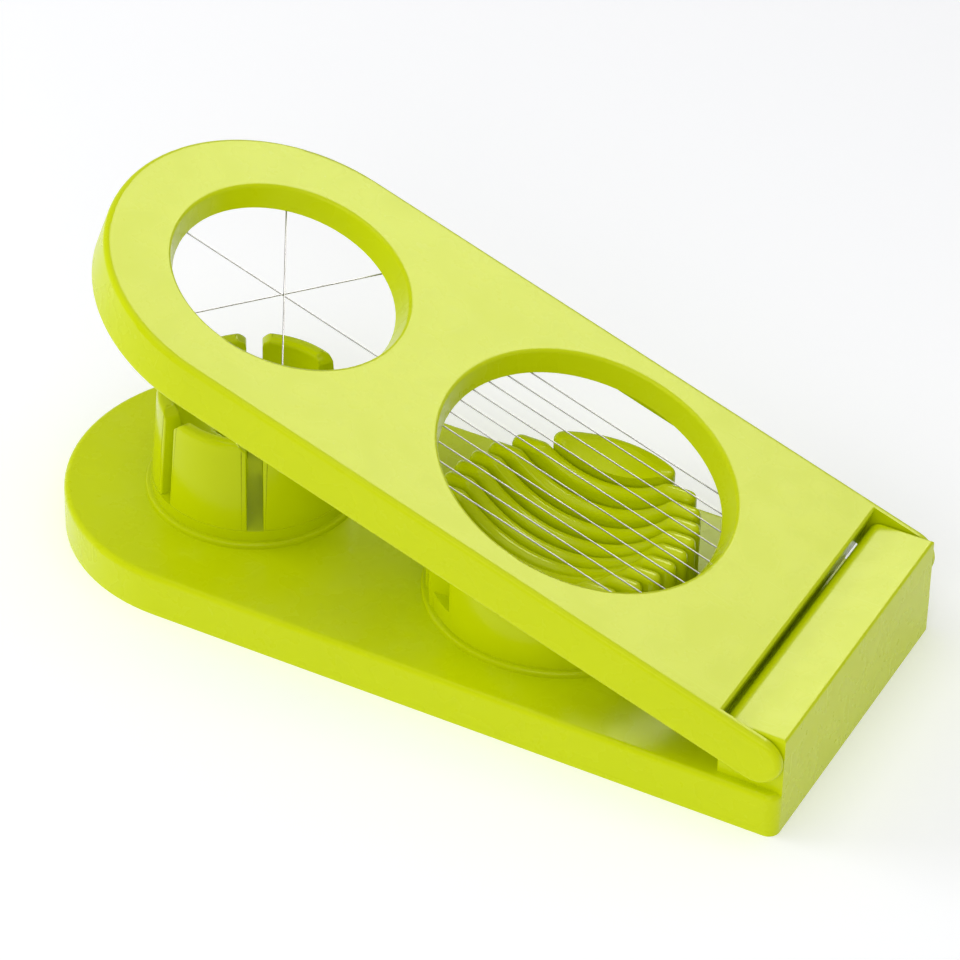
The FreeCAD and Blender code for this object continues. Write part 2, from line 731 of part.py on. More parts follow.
def make_wedge_wire_ring():
    body = new_body("wedge_wire_ring")
    sketch = new_sketch(body, "ring_outline", offset=(0, 0, "-carrier_low"))
    draw_circle(sketch, f"-{WEDGE_REACH}", "0", RING_OUTSIDE)
    draw_circle(sketch, f"-{WEDGE_REACH}", "0", RING_INSIDE)
    add_feature(body, "Pad", "ring", sketch, CARRIER_HEIGHT)
    sketch = new_sketch(body, "ear_outline", offset=(0, 0, "-carrier_low"))
    for x_text, y_text in moved(WEDGE_REACH, WEDGE_EARS):
        draw_circle(sketch, x_text, y_text, "ear_radius")
    add_feature(body, "Pad", "ears", sketch, CARRIER_HEIGHT)
    sketch = new_sketch(body, "screw_hole_outline")
    for x_text, y_text in moved(WEDGE_REACH, WEDGE_EARS):
        draw_circle(sketch, x_text, y_text, "lid_screw_diameter / 2 + screw_gap")
    add_feature(body, "Pocket", "screw_holes", sketch, both_ways=True)
    for index, angle in enumerate(WEDGE_WIRE_ANGLES, start=1):
        sketch = new_sketch(body, f"wire_hole_outline_{index}", "YZ_Plane",
                            offset=(0, 0, f"-{WEDGE_REACH}"), turn=angle)
        draw_circle(sketch, "0", wedge_wire_height(index), "wire_diameter / 2 + wire_hole_gap")
        add_feature(body, "Pocket", f"wire_hole_{index}", sketch,
                    f"2 * {RING_OUTSIDE} + 1", both_ways=True)
    seat_on_lid(body)
    return body


def make_slicer_wire_frame():
    body = new_body("slicer_wire_frame")
    corner = "frame_corner"
    far_x = f"(-{SLICE_REACH} - frame_half_length)"
    near_x = f"(frame_half_length - {SLICE_REACH})"
    side = FRAME_HALF_WIDTH
    sketch = new_sketch(body, "frame_outline", offset=(0, 0, "-carrier_low"))
    draw_outline(sketch, [
        (f"{far_x} + {corner}", f"-{side}"),
        (f"{near_x} - {corner}", f"-{side}", corner, 1),
        (near_x, f"{corner} - {side}"),
        (near_x, f"{side} - {corner}", corner, 1),
        (f"{near_x} - {corner}", side),
        (f"{far_x} + {corner}", side, corner, 1),
        (far_x, f"{side} - {corner}"),
        (far_x, f"{corner} - {side}", corner, 1),
    ])
    draw_circle(sketch, f"-{SLICE_REACH}", "0", "slice_window + collar_wall + carrier_gap")
    add_feature(body, "Pad", "frame", sketch, CARRIER_HEIGHT)
    sketch = new_sketch(body, "screw_hole_outline")
    for x_text, y_text in moved(SLICE_REACH, FRAME_SCREWS):
        draw_circle(sketch, x_text, y_text, "lid_screw_diameter / 2 + screw_gap")
    add_feature(body, "Pocket", "screw_holes", sketch, both_ways=True)
    sketch = new_sketch(body, "wire_hole_outline", "YZ_Plane")
    draw_circle(sketch, FIRST_WIRE_Y, "0", "wire_diameter / 2 + wire_hole_gap")
    hole = add_feature(body, "Pocket", "wire_hole", sketch, both_ways=True)
    add_wire_pattern(body, "wire_holes", hole)
    seat_on_lid(body)
    return body


def make_wire(label, reach, turn, across, height, half_span):
    """One straight steel wire, drawn across a window's middle and turned in the lid's plane."""
    body = new_body(label)
    sketch = new_sketch(body, "wire_section", "YZ_Plane", offset=(0, 0, f"-{reach}"), turn=turn)
    draw_circle(sketch, across, height, "wire_diameter / 2")
    length = f"2 * ({half_span} + ferrule_length + wire_tail)"
    add_feature(body, "Pad", "wire", sketch, length, both_ways=True)
    seat_on_lid(body)
    return body


# ---------------------------------------------------------------- fasteners, as groups of solids

def make_group(label, solids, placement):
    group = doc.addObject("Part::Feature", label)
    group.Label = label
    group.Shape = Part.makeCompound(solids)
    group.Placement = placement
    return group


def lid_placement():
    return Placement(Vector(number_of(PIVOT_X), 0, number_of("pivot_height")),
                     Rotation(Vector(0, 1, 0), number_of("rest_angle")))


def screw_solid(diameter, head, head_height, length):
    """A pan-head self-tapping screw, pointing up from the seat under its head."""
    radius = diameter / 2
    dome = head_height * 0.45
    points = [
        Vector(0, 0, -head_height), Vector(head / 2 - dome, 0, -head_height),
        Vector(head / 2, 0, dome - head_height), Vector(head / 2, 0, 0),
        Vector(radius, 0, 0), Vector(radius, 0, length - radius), Vector(radius * 0.3, 0, length),
        Vector(0, 0, length), Vector(0, 0, -head_height),
    ]
    face = Part.Face(Part.makePolygon(points))
    screw = face.revolve(Vector(), Vector(0, 0, 1), 360)
    recess_depth = head_height * 0.6
    recess_length = head * 0.5
    recess_width = head * 0.13
    for long_x, long_y in ((recess_length, recess_width), (recess_width, recess_length)):
        bar = Part.makeBox(long_x, long_y, recess_depth, Vector(-long_x / 2, -long_y / 2, -head_height))
        screw = screw.cut(bar)
    return screw


def make_screws(label, size_name, seat_height, places, placement):
    screw = screw_solid(number_of(f"{size_name}_diameter"), number_of(f"{size_name}_head"),
                        number_of(f"{size_name}_head_height"), number_of(f"{size_name}_length"))
    solids = []
    for x_text, y_text in places:
        seat = Vector(number_of(x_text), number_of(y_text), number_of(seat_height))
        solids.append(screw.translated(seat))
    return make_group(label, solids, placement)


def ferrule_solid():
    length = number_of("ferrule_length")
    sleeve = Part.makeCylinder(number_of("ferrule_diameter / 2"), length, Vector(), Vector(1, 0, 0))
    bore = Part.makeCylinder(number_of("wire_diameter / 2 + ferrule_gap"), length, Vector(), Vector(1, 0, 0))
    return sleeve.cut(bore)


def make_slicer_ferrules():
    solids = []
    half = number_of("frame_half_length")
    reach = number_of(SLICE_REACH)
    for index in range(int(number_of("wire_count"))):
        across = number_of(FIRST_WIRE_Y) + index * number_of("wire_pitch")
        for start in (half, -half - number_of("ferrule_length")):
            solids.append(ferrule_solid().translated(Vector(start - reach, across, 0)))
    return make_group("slicer_ferrules", solids, lid_placement())


def make_wedge_ferrules():
    solids = []
    outside = number_of(RING_OUTSIDE)
    middle = Vector(-number_of(WEDGE_REACH), 0, 0)
    for index, angle in enumerate(WEDGE_WIRE_ANGLES, start=1):
        for turn in (angle, angle + 180):
            sleeve = ferrule_solid().translated(Vector(outside, 0, number_of(wedge_wire_height(index))))
            sleeve.rotate(Vector(), Vector(0, 0, 1), turn)
            sleeve.translate(middle)
            solids.append(sleeve)
    return make_group("wedge_ferrules", solids, lid_placement())


# ---------------------------------------------------------------- the assembly

def make_assembly():
    pieces = [
        make_base_shell(),
        make_hinge_pin("hinge_pin_near", -1),
        make_hinge_pin("hinge_pin_far", 1),
        make_wedger_cup(),
        make_slicer_cup(),
        make_screws("cup_screws", "cup_screw", "plate_height - plate_top", CUP_SCREWS, Placement()),
        make_lid_shell(),
        make_wedge_wire_ring(),
        make_slicer_wire_frame(),
        make_wedge_ferrules(),
        make_slicer_ferrules(),
        make_screws("lid_screws", "lid_screw", "-carrier_low", LID_SCREWS, lid_placement()),
    ]
    for index, angle in enumerate(WEDGE_WIRE_ANGLES, start=1):
        pieces.append(make_wire(f"wedge_wire_{index}", WEDGE_REACH, angle, "0",
                                wedge_wire_height(index), RING_OUTSIDE))
    for index in range(int(number_of("wire_count"))):
        pieces.append(make_wire(f"slicer_wire_{index + 1:02d}", SLICE_REACH, 0,
                                f"{FIRST_WIRE_Y} + {index} * wire_pitch", "0", "frame_half_length"))
    return pieces


def check_document(pieces):
    for item in doc.Objects:
        if "Invalid" in item.State or "Error" in item.State:
            raise ValueError(f"{item.Label} failed: {item.State}")
    for piece in pieces:
        if piece.Shape.isNull() or not piece.Shape.isValid() or not piece.Shape.Solids:
            raise ValueError(f"{piece.Label} has no valid solid")
        if piece.isDerivedFrom("PartDesign::Body") and len(piece.Shape.Solids) != 1:
            raise ValueError(f"{piece.Label} is in {len(piece.Shape.Solids)} parts")


pieces = make_assembly()
doc.recompute()
check_document(pieces)
os.makedirs("parts", exist_ok=True)
for piece in pieces:
    piece.Shape.exportStep(f"parts/{piece.Label}.step")
    box = piece.Shape.BoundBox
    print(f"{piece.Label}: {len(piece.Shape.Solids)} solid(s), {piece.Shape.Volume:.0f} mm3, "
          f"x {box.XMin:.1f}..{box.XMax:.1f}, y {box.YMin:.1f}..{box.YMax:.1f}, "
          f"z {box.ZMin:.1f}..{box.ZMax:.1f}")
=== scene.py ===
# %% [markdown]
# # A two-way egg cutter in lime-green plastic
#
# The tool is a long base plate with two slotted egg cups, and a hinged lid with two round windows.
# Steel wires are stretched across the windows: three cross at the middle of the small one and ten
# lie side by side in the large one. The design, with its sizes and its hinge, comes from the CAD
# frame. This script adds the camera, the light, the finishes, and the two cups with soft edges.
# Lengths are in metres. The table is the plane z = 0, and the hinge is at the +X end.

# %% Load the frame
import math

import bpy
from mathutils import Matrix, Vector


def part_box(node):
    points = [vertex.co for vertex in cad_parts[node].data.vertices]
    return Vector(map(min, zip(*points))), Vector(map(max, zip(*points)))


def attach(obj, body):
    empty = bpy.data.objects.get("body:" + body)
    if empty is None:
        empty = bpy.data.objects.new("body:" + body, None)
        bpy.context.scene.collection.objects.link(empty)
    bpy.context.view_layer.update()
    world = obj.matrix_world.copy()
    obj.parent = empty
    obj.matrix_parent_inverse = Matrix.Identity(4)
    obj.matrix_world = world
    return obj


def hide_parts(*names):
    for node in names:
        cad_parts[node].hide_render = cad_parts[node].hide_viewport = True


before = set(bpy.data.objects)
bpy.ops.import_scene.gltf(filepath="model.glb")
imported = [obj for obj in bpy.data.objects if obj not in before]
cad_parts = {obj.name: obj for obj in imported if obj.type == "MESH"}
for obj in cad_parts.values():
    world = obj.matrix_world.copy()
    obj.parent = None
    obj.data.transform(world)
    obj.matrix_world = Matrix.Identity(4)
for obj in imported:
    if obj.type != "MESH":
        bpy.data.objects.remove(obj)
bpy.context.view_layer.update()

MM = 0.001

# %% [markdown]
# ## Where the camera stands
#
# A long lens far away keeps the edges of the tool nearly parallel. The camera looks down over the
# near side of the hinge end. It could be turned by hand with three angles. Here its axes are worked
# out from the view's azimuth and elevation and a small roll, so each number has a plain meaning.

# %% Make the camera
VIEW_AZIMUTH = math.radians(27.04)
VIEW_ELEVATION = math.radians(38.05)
VIEW_ROLL = math.radians(1.41)
VIEW_DISTANCE = 1181.6 * MM
VIEW_TARGET = Vector((4.5, 0.0, 36.4)) * MM
LENS = 183.25


def add_camera():
    back = Vector((
        math.sin(VIEW_AZIMUTH) * math.cos(VIEW_ELEVATION),
        -math.cos(VIEW_AZIMUTH) * math.cos(VIEW_ELEVATION),
        math.sin(VIEW_ELEVATION),
    ))
    level_right = Vector((math.cos(VIEW_AZIMUTH), math.sin(VIEW_AZIMUTH), 0.0))
    level_up = back.cross(level_right)
    right = level_right * math.cos(VIEW_ROLL) + level_up * math.sin(VIEW_ROLL)
    up = level_up * math.cos(VIEW_ROLL) - level_right * math.sin(VIEW_ROLL)
    bpy.ops.object.camera_add()
    camera = bpy.context.object
    camera.data.lens = LENS
    turn = Matrix((right, up, back)).transposed().to_4x4()
    camera.matrix_world = Matrix.Translation(VIEW_TARGET + back * VIEW_DISTANCE) @ turn
    bpy.context.scene.camera = camera
    return camera


bpy.ops.object.select_all(action="DESELECT")
camera = add_camera()
print("camera at", [round(value, 3) for value in camera.matrix_world.translation])

# %% [markdown]
# ## The floor and the light
#
# A studio shows glossy plastic by what it reflects. A wide softbox behind the tool is mirrored in
# the lid's top and in the hinge block, and turns them pale. It shows in reflections only, so the
# other boxes alone set how bright the colours are. The base plate's round end mirrors the darker
# room and keeps its full colour. A box in front lights the near sides, one overhead keeps the
# floor white, and a fill at the left reaches the cups under the lid without a reflection of its
# own. The floor glows faintly, which softens the shadow. Each box is given by the brightness of
# its face, which is easier to judge than watts, and stays out of the camera's sight.

# %% Add the floor, the room and the softboxes
FLOOR_RADIUS = 6.0
FLOOR_SEGMENTS = 64
FLOOR_GLOW = 0.2
ROOM_BRIGHTNESS = 0.40
SCENE_MIDDLE = Vector((0.0, 0.0, 30.0)) * MM


def add_floor():
    bpy.ops.mesh.primitive_circle_add(vertices=FLOOR_SEGMENTS, radius=FLOOR_RADIUS, fill_type="NGON")
    floor = bpy.context.object
    floor.name = "studio_floor"
    material = bpy.data.materials.new("studio_floor")
    material.use_nodes = True
    shader = material.node_tree.nodes["Principled BSDF"]
    shader.inputs["Base Color"].default_value = (0.92, 0.92, 0.93, 1.0)
    shader.inputs["Roughness"].default_value = 0.9
    shader.inputs["Specular IOR Level"].default_value = 0.1
    shader.inputs["Emission Color"].default_value = (1.0, 1.0, 1.0, 1.0)
    shader.inputs["Emission Strength"].default_value = FLOOR_GLOW
    floor.data.materials.append(material)
    return floor


def add_room():
    world = bpy.data.worlds.new("studio_room")
    world.use_nodes = True
    background = world.node_tree.nodes["Background"]
    background.inputs["Color"].default_value = (0.97, 0.98, 1.0, 1.0)
    background.inputs["Strength"].default_value = ROOM_BRIGHTNESS
    bpy.context.scene.world = world


def add_softbox(name, place, width, height, brightness, target=SCENE_MIDDLE):
    bpy.ops.object.light_add(type="AREA", location=place)
    box = bpy.context.object
    box.name = name
    box.data.shape = "RECTANGLE"
    box.data.size = width
    box.data.size_y = height
    box.data.energy = brightness * math.pi * width * height
    box.rotation_euler = (Vector(place) - target).to_track_quat("Z", "Y").to_euler()
    box.visible_camera = False
    return box


add_floor()
add_room()
sheen = add_softbox("back_box", (0.03, 0.52, 0.56), 0.50, 0.34, 9.0)
sheen.visible_diffuse = False
add_softbox("front_box", (0.35, -1.05, 0.70), 0.90, 0.60, 2.2)
add_softbox("top_box", (0.0, -0.10, 1.40), 1.30, 1.30, 1.2)
fill = add_softbox("left_box", (-1.15, -0.30, 0.50), 0.70, 0.60, 4.2)
fill.visible_glossy = False
bpy.context.scene.view_settings.view_transform = "Standard"

# %% [markdown]
# ## Small tools for materials
#
# Node trees are long to write one socket at a time. Two helpers keep them readable: `put` adds a
# node and fills its inputs, from plain values or from other nodes, and `blend_colours` mixes two
# colours by a mask.

# %% Helpers that add nodes
def put(tree, kind, settings=None, **inputs):
    """Adds a node. An input is a number or another node's output; _ in its name is a space."""
    node = tree.nodes.new(f"ShaderNode{kind}")
    for name, value in (settings or {}).items():
        setattr(node, name, value)
    for title, value in inputs.items():
        feed(tree, node.inputs[title.replace("_", " ")], value)
    return node


def feed(tree, socket, value):
    if isinstance(value, bpy.types.NodeSocket):
        tree.links.new(value, socket)
    else:
        socket.default_value = value


def calculate(tree, operation, *values, clamp=False):
    node = put(tree, "Math", {"operation": operation, "use_clamp": clamp})
    for socket, value in zip(node.inputs, values):
        feed(tree, socket, value)
    return node.outputs[0]


def blend_colours(tree, mask, first, second):
    node = put(tree, "Mix", {"data_type": "RGBA"})
    sockets = {socket.identifier: socket for socket in node.inputs}
    feed(tree, sockets["Factor_Float"], mask)
    feed(tree, sockets["A_Color"], first)
    feed(tree, sockets["B_Color"], second)
    return next(socket for socket in node.outputs if socket.identifier == "Result_Color")


def threshold(tree, value, low, high):
    """Turns a smooth value into a mask that rises from 0 to 1 between two limits."""
    node = put(tree, "MapRange", None, Value=value, From_Min=low, From_Max=high)
    return node.outputs["Result"]


def new_group(name, inputs, outputs):
    """A node group with named number inputs and outputs; returns it with its two end nodes."""
    group = bpy.data.node_groups.new(name, "ShaderNodeTree")
    for title, value in inputs.items():
        socket = group.interface.new_socket(title, in_out="INPUT", socket_type="NodeSocketFloat")
        socket.default_value = value
    for title in outputs:
        group.interface.new_socket(title, in_out="OUTPUT", socket_type="NodeSocketFloat")
    start = group.nodes.new("NodeGroupInput")
    end = group.nodes.new("NodeGroupOutput")
    return group, start, end


def use_group(tree, group, **inputs):
    node = put(tree, "Group", {"node_tree": group})
    for title, value in inputs.items():
        feed(tree, node.inputs[title.replace("_", " ")], value)
    return node


print("material helpers ready")

# %% [markdown]
# ## Effects that several finishes share
#
# A moulded part is never one even colour. Its skin carries the fine texture of the mould, the melt
# leaves slow drifts in tone, edges are rubbed paler where hands and cloths pass, wiping leaves
# hair-thin scratches, and some dust stays on what faces up. Each of these effects is built once as
# a group and placed in each finish with values of its own.

# %% Group: mould texture
def make_skin_group():
    """Fine grain with slow waves under it, and a roughness that wanders between two limits."""
    group, start, end = new_group(
        "mould_skin", {"Scale": 900.0, "Low": 0.3, "High": 0.4}, ["Height", "Roughness"])
    place = put(group, "TexCoord").outputs["Object"]
    grain = put(group, "TexNoise", None, Vector=place, Scale=start.outputs["Scale"], Detail=4.0)
    slow = put(group, "TexNoise", None, Vector=place, Scale=55.0, Detail=2.0)
    fine_height = calculate(group, "MULTIPLY", grain.outputs["Fac"], 0.35)
    height = calculate(group, "ADD", fine_height, slow.outputs["Fac"])
    patches = put(group, "TexNoise", None, Vector=place, Scale=130.0, Detail=5.0)
    spread = put(group, "MapRange", None, Value=patches.outputs["Fac"], From_Min=0.3, From_Max=0.7,
                 To_Min=start.outputs["Low"], To_Max=start.outputs["High"])
    group.links.new(height, end.inputs["Height"])
    group.links.new(spread.outputs["Result"], end.inputs["Roughness"])
    return group


skin_group = make_skin_group()
print("group", skin_group.name)

# %% Group: slow drift in tone
def make_drift_group():
    """A soft mask of large blurred patches, with faint streaks along the flow of the melt."""
    group, start, end = new_group("tone_drift", {"Scale": 28.0}, ["Mask"])
    place = put(group, "TexCoord").outputs["Object"]
    cloud = put(group, "TexNoise", None, Vector=place, Scale=start.outputs["Scale"], Detail=3.0,
                Roughness=0.55)
    stretched = put(group, "Mapping", None, Vector=place, Scale=(14.0, 90.0, 90.0))
    streak = put(group, "TexNoise", None, Vector=stretched.outputs["Vector"], Scale=1.0, Detail=4.0)
    streak_part = calculate(group, "MULTIPLY", streak.outputs["Fac"], 0.4)
    cloud_part = calculate(group, "MULTIPLY", cloud.outputs["Fac"], 0.6)
    total = calculate(group, "ADD", streak_part, cloud_part)
    group.links.new(threshold(group, total, 0.32, 0.68), end.inputs["Mask"])
    return group


drift_group = make_drift_group()
print("group", drift_group.name)

# %% Group: wear along edges
def make_wear_group():
    """A mask along convex edges: where a rounded normal leaves the true one, broken up by noise."""
    group, start, end = new_group("edge_wear", {"Width": 0.6 * MM, "Amount": 1.0}, ["Mask"])
    round_normal = put(group, "Bevel", {"samples": 4}, Radius=start.outputs["Width"])
    true_normal = put(group, "NewGeometry").outputs["Normal"]
    match = put(group, "VectorMath", {"operation": "DOT_PRODUCT"})
    group.links.new(round_normal.outputs["Normal"], match.inputs[0])
    group.links.new(true_normal, match.inputs[1])
    away = calculate(group, "SUBTRACT", 1.0, match.outputs["Value"])
    edge = threshold(group, away, 0.02, 0.22)
    place = put(group, "TexCoord").outputs["Object"]
    broken = put(group, "TexNoise", None, Vector=place, Scale=320.0, Detail=6.0, Roughness=0.7)
    rubbed = threshold(group, broken.outputs["Fac"], 0.38, 0.62)
    mask = calculate(group, "MULTIPLY", edge, rubbed)
    group.links.new(calculate(group, "MULTIPLY", mask, start.outputs["Amount"]), end.inputs["Mask"])
    return group


wear_group = make_wear_group()
print("group", wear_group.name)

# %% Group: hair scratches
def make_scratch_group():
    """Hair-thin lines in two directions, as wiping and stacking leave them."""
    group, start, end = new_group("hair_scratches", {"Amount": 1.0}, ["Mask"])
    place = put(group, "TexCoord").outputs["Object"]
    lines = []
    for turn, along, across in ((18.0, 9.0, 1500.0), (-37.0, 14.0, 1100.0), (74.0, 20.0, 1900.0)):
        turned = put(group, "Mapping", None, Vector=place, Rotation=(0.0, 0.0, math.radians(turn)),
                     Scale=(along, across, along))
        noise = put(group, "TexNoise", None, Vector=turned.outputs["Vector"], Scale=1.0, Detail=2.0)
        lines.append(threshold(group, noise.outputs["Fac"], 0.70, 0.78))
    both = calculate(group, "MAXIMUM", lines[0], lines[1])
    total = calculate(group, "MAXIMUM", both, lines[2])
    group.links.new(calculate(group, "MULTIPLY", total, start.outputs["Amount"]), end.inputs["Mask"])
    return group


scratch_group = make_scratch_group()
print("group", scratch_group.name)

# %% Group: dust
def make_dust_group():
    """Specks and a thin film on the faces that look up."""
    group, start, end = new_group("dust", {"Amount": 1.0}, ["Mask"])
    coordinates = put(group, "TexCoord")
    place = coordinates.outputs["Object"]
    facing = put(group, "SeparateXYZ", None, Vector=coordinates.outputs["Normal"])
    upward = threshold(group, facing.outputs["Z"], 0.3, 0.95)
    specks = put(group, "TexVoronoi", {"feature": "F1"}, Vector=place, Scale=260.0)
    speck = threshold(group, specks.outputs["Distance"], 0.09, 0.03)
    film = put(group, "TexNoise", None, Vector=place, Scale=75.0, Detail=7.0, Roughness=0.65)
    thin = calculate(group, "MULTIPLY", threshold(group, film.outputs["Fac"], 0.5, 0.75), 0.5)
    both = calculate(group, "MAXIMUM", speck, thin)
    on_top = calculate(group, "MULTIPLY", both, upward)
    group.links.new(calculate(group, "MULTIPLY", on_top, start.outputs["Amount"]), end.inputs["Mask"])
    return group


dust_group = make_dust_group()
print("group", dust_group.name)

# %% [markdown]
# ## The lime plastic
#
# The shells and cups are injection-moulded in a glossy, strongly coloured plastic. One recipe
# makes all three plastic finishes. The cups are the glossiest and the least worn, and the wire
# carriers under the lid are the most matt. The shine is tinted, so the lime stays strong in it.

# %% Make the plastics
DUST_TONE = (0.78, 0.80, 0.55, 1.0)
PLASTIC_IOR = 1.52
SHINE_LEVEL = 0.26
SHINE_TINT = (1.0, 1.0, 0.5, 1.0)
EDGE_WIDTH = 0.5 * MM
MOULD_GRAIN = 1400.0


def make_plastic(name, deep, pale, gloss, wear, dust, scratches):
    material = bpy.data.materials.new(name)
    material.use_nodes = True
    tree = material.node_tree
    shader = tree.nodes["Principled BSDF"]
    skin = use_group(tree, skin_group, Scale=MOULD_GRAIN, Low=gloss[0], High=gloss[1])
    drift = use_group(tree, drift_group, Scale=26.0)
    rubbed = use_group(tree, wear_group, Width=EDGE_WIDTH, Amount=wear)
    film = use_group(tree, dust_group, Amount=dust)
    lines = use_group(tree, scratch_group, Amount=scratches)

    colour = blend_colours(tree, drift.outputs["Mask"], deep, pale)
    worn = tuple(min(1.0, channel * 1.12 + 0.035) for channel in pale[:3]) + (1.0,)
    colour = blend_colours(tree, rubbed.outputs["Mask"], colour, worn)
    colour = blend_colours(tree, film.outputs["Mask"], colour, DUST_TONE)
    tree.links.new(colour, shader.inputs["Base Color"])

    marks = calculate(tree, "MAXIMUM", rubbed.outputs["Mask"], lines.outputs["Mask"])
    dulled = calculate(tree, "MULTIPLY", calculate(tree, "MAXIMUM", marks, film.outputs["Mask"]), 0.18)
    rough = calculate(tree, "ADD", skin.outputs["Roughness"], dulled, clamp=True)
    tree.links.new(rough, shader.inputs["Roughness"])

    cut = calculate(tree, "MULTIPLY", lines.outputs["Mask"], -0.5)
    height = calculate(tree, "ADD", skin.outputs["Height"], cut)
    bump = put(tree, "Bump", None, Strength=0.05, Distance=0.02 * MM, Height=height)
    tree.links.new(bump.outputs["Normal"], shader.inputs["Normal"])
    shader.inputs["IOR"].default_value = PLASTIC_IOR
    shader.inputs["Specular IOR Level"].default_value = SHINE_LEVEL
    shader.inputs["Specular Tint"].default_value = SHINE_TINT
    return material


shell_plastic = make_plastic(
    "lime_shell_plastic", (0.605, 0.700, 0.0, 1.0), (0.625, 0.720, 0.0, 1.0),
    gloss=(0.25, 0.30), wear=0.3, dust=0.05, scratches=0.2)
cup_plastic = make_plastic(
    "lime_cup_plastic", (0.560, 0.650, 0.0, 1.0), (0.590, 0.680, 0.0, 1.0),
    gloss=(0.13, 0.21), wear=0.2, dust=0.05, scratches=0.2)
carrier_plastic = make_plastic(
    "lime_carrier_plastic", (0.545, 0.645, 0.0, 1.0), (0.600, 0.700, 0.0, 1.0),
    gloss=(0.36, 0.48), wear=0.3, dust=0.1, scratches=0.2)
print("plastics made")

# %% [markdown]
# ## The metals
#
# Drawn wire gets a fine grain and a soft shine. The hinge pins are ground steel, the
# screws are zinc plated with a slight bluish mottle, and the crimped sleeves are a warmer nickel.
# One recipe covers them, with its own colours, grain and roughness for each.

# %% Make the metals
def make_metal(name, tone, stain, gloss, grain, bump_depth):
    material = bpy.data.materials.new(name)
    material.use_nodes = True
    tree = material.node_tree
    shader = tree.nodes["Principled BSDF"]
    skin = use_group(tree, skin_group, Scale=grain, Low=gloss[0], High=gloss[1])
    drift = use_group(tree, drift_group, Scale=180.0)
    rubbed = use_group(tree, wear_group, Width=0.12 * MM, Amount=0.6)
    lines = use_group(tree, scratch_group, Amount=0.8)
    colour = blend_colours(tree, drift.outputs["Mask"], tone, stain)
    bright = tuple(min(1.0, channel * 1.15) for channel in tone[:3]) + (1.0,)
    colour = blend_colours(tree, rubbed.outputs["Mask"], colour, bright)
    tree.links.new(colour, shader.inputs["Base Color"])
    dulled = calculate(tree, "MULTIPLY", lines.outputs["Mask"], 0.15)
    rough = calculate(tree, "ADD", skin.outputs["Roughness"], dulled, clamp=True)
    tree.links.new(rough, shader.inputs["Roughness"])
    bump = put(tree, "Bump", None, Strength=0.3, Distance=bump_depth, Height=skin.outputs["Height"])
    tree.links.new(bump.outputs["Normal"], shader.inputs["Normal"])
    shader.inputs["Metallic"].default_value = 1.0
    return material


wire_steel = make_metal("drawn_wire_steel", (0.40, 0.385, 0.37, 1.0), (0.33, 0.32, 0.31, 1.0),
                        gloss=(0.28, 0.42), grain=5200.0, bump_depth=0.01 * MM)
pin_steel = make_metal("ground_pin_steel", (0.66, 0.66, 0.67, 1.0), (0.55, 0.55, 0.57, 1.0),
                       gloss=(0.18, 0.32), grain=3400.0, bump_depth=0.01 * MM)
screw_zinc = make_metal("zinc_screw_steel", (0.63, 0.65, 0.68, 1.0), (0.52, 0.55, 0.60, 1.0),
                        gloss=(0.26, 0.44), grain=2600.0, bump_depth=0.02 * MM)
sleeve_nickel = make_metal("nickel_sleeve", (0.70, 0.66, 0.58, 1.0), (0.58, 0.54, 0.47, 1.0),
                           gloss=(0.25, 0.4), grain=3000.0, bump_depth=0.02 * MM)
print("metals made")

# %% [markdown]
# ## Tools for modelling
#
# The cups are modelled as by hand: an outline is drawn by extruding one vertex from point to
# point, then filled, and pushed out or turned round an axis. Planes slice off what isn't wanted,
# a bevel softens the edges, and solids are united, carved or joined into one piece.

# %% Helpers that draw and cut
MERGE_DISTANCE = 0.002 * MM
BEVEL_ANGLE = math.radians(32.0)
SMOOTH_ANGLE = math.radians(35.0)


def arc_points(centre, radius, start, end, steps):
    """Points of an arc in a flat drawing, from one angle to another, in degrees."""
    angles = [math.radians(start + (end - start) * step / steps) for step in range(steps + 1)]
    return [(centre[0] + radius * math.cos(angle), centre[1] + radius * math.sin(angle))
            for angle in angles]


def trace_outline(name, corners):
    """Draws a closed outline by extruding a vertex through the corners, and fills it."""
    bpy.ops.object.select_all(action="DESELECT")
    bpy.ops.mesh.primitive_plane_add(size=MM)
    piece = bpy.context.object
    piece.name = name
    bpy.ops.object.mode_set(mode="EDIT")
    bpy.ops.mesh.select_all(action="SELECT")
    bpy.ops.mesh.merge(type="CENTER")
    bpy.ops.transform.translate(value=corners[0])
    for before, after in zip(corners, corners[1:]):
        step = Vector(after) - Vector(before)
        bpy.ops.mesh.extrude_region_move(TRANSFORM_OT_translate={"value": step})
    bpy.ops.mesh.select_all(action="SELECT")
    bpy.ops.mesh.edge_face_add()
    return piece


def finish_solid():
    """Merges doubles, turns the faces outwards and leaves edit mode."""
    bpy.ops.mesh.select_all(action="SELECT")
    bpy.ops.mesh.remove_doubles(threshold=MERGE_DISTANCE)
    bpy.ops.mesh.normals_make_consistent(inside=False)
    bpy.ops.object.mode_set(mode="OBJECT")


def push_out(name, corners, travel):
    """A closed solid: the outline pushed out along a straight line."""
    piece = trace_outline(name, corners)
    bpy.ops.mesh.extrude_region_move(TRANSFORM_OT_translate={"value": travel})
    finish_solid()
    return piece


def turn_round(name, half_section, centre, steps):
    """A closed solid of revolution about an upright axis."""
    corners = [(centre.x + radius, centre.y, centre.z + height) for radius, height in half_section]
    piece = trace_outline(name, corners)
    bpy.ops.mesh.delete(type="ONLY_FACE")
    bpy.ops.mesh.select_all(action="SELECT")
    bpy.ops.mesh.spin(steps=steps, angle=math.tau, center=centre, axis=(0.0, 0.0, 1.0))
    finish_solid()
    return piece


def make_active(piece):
    bpy.ops.object.select_all(action="DESELECT")
    piece.select_set(True)
    bpy.context.view_layer.objects.active = piece


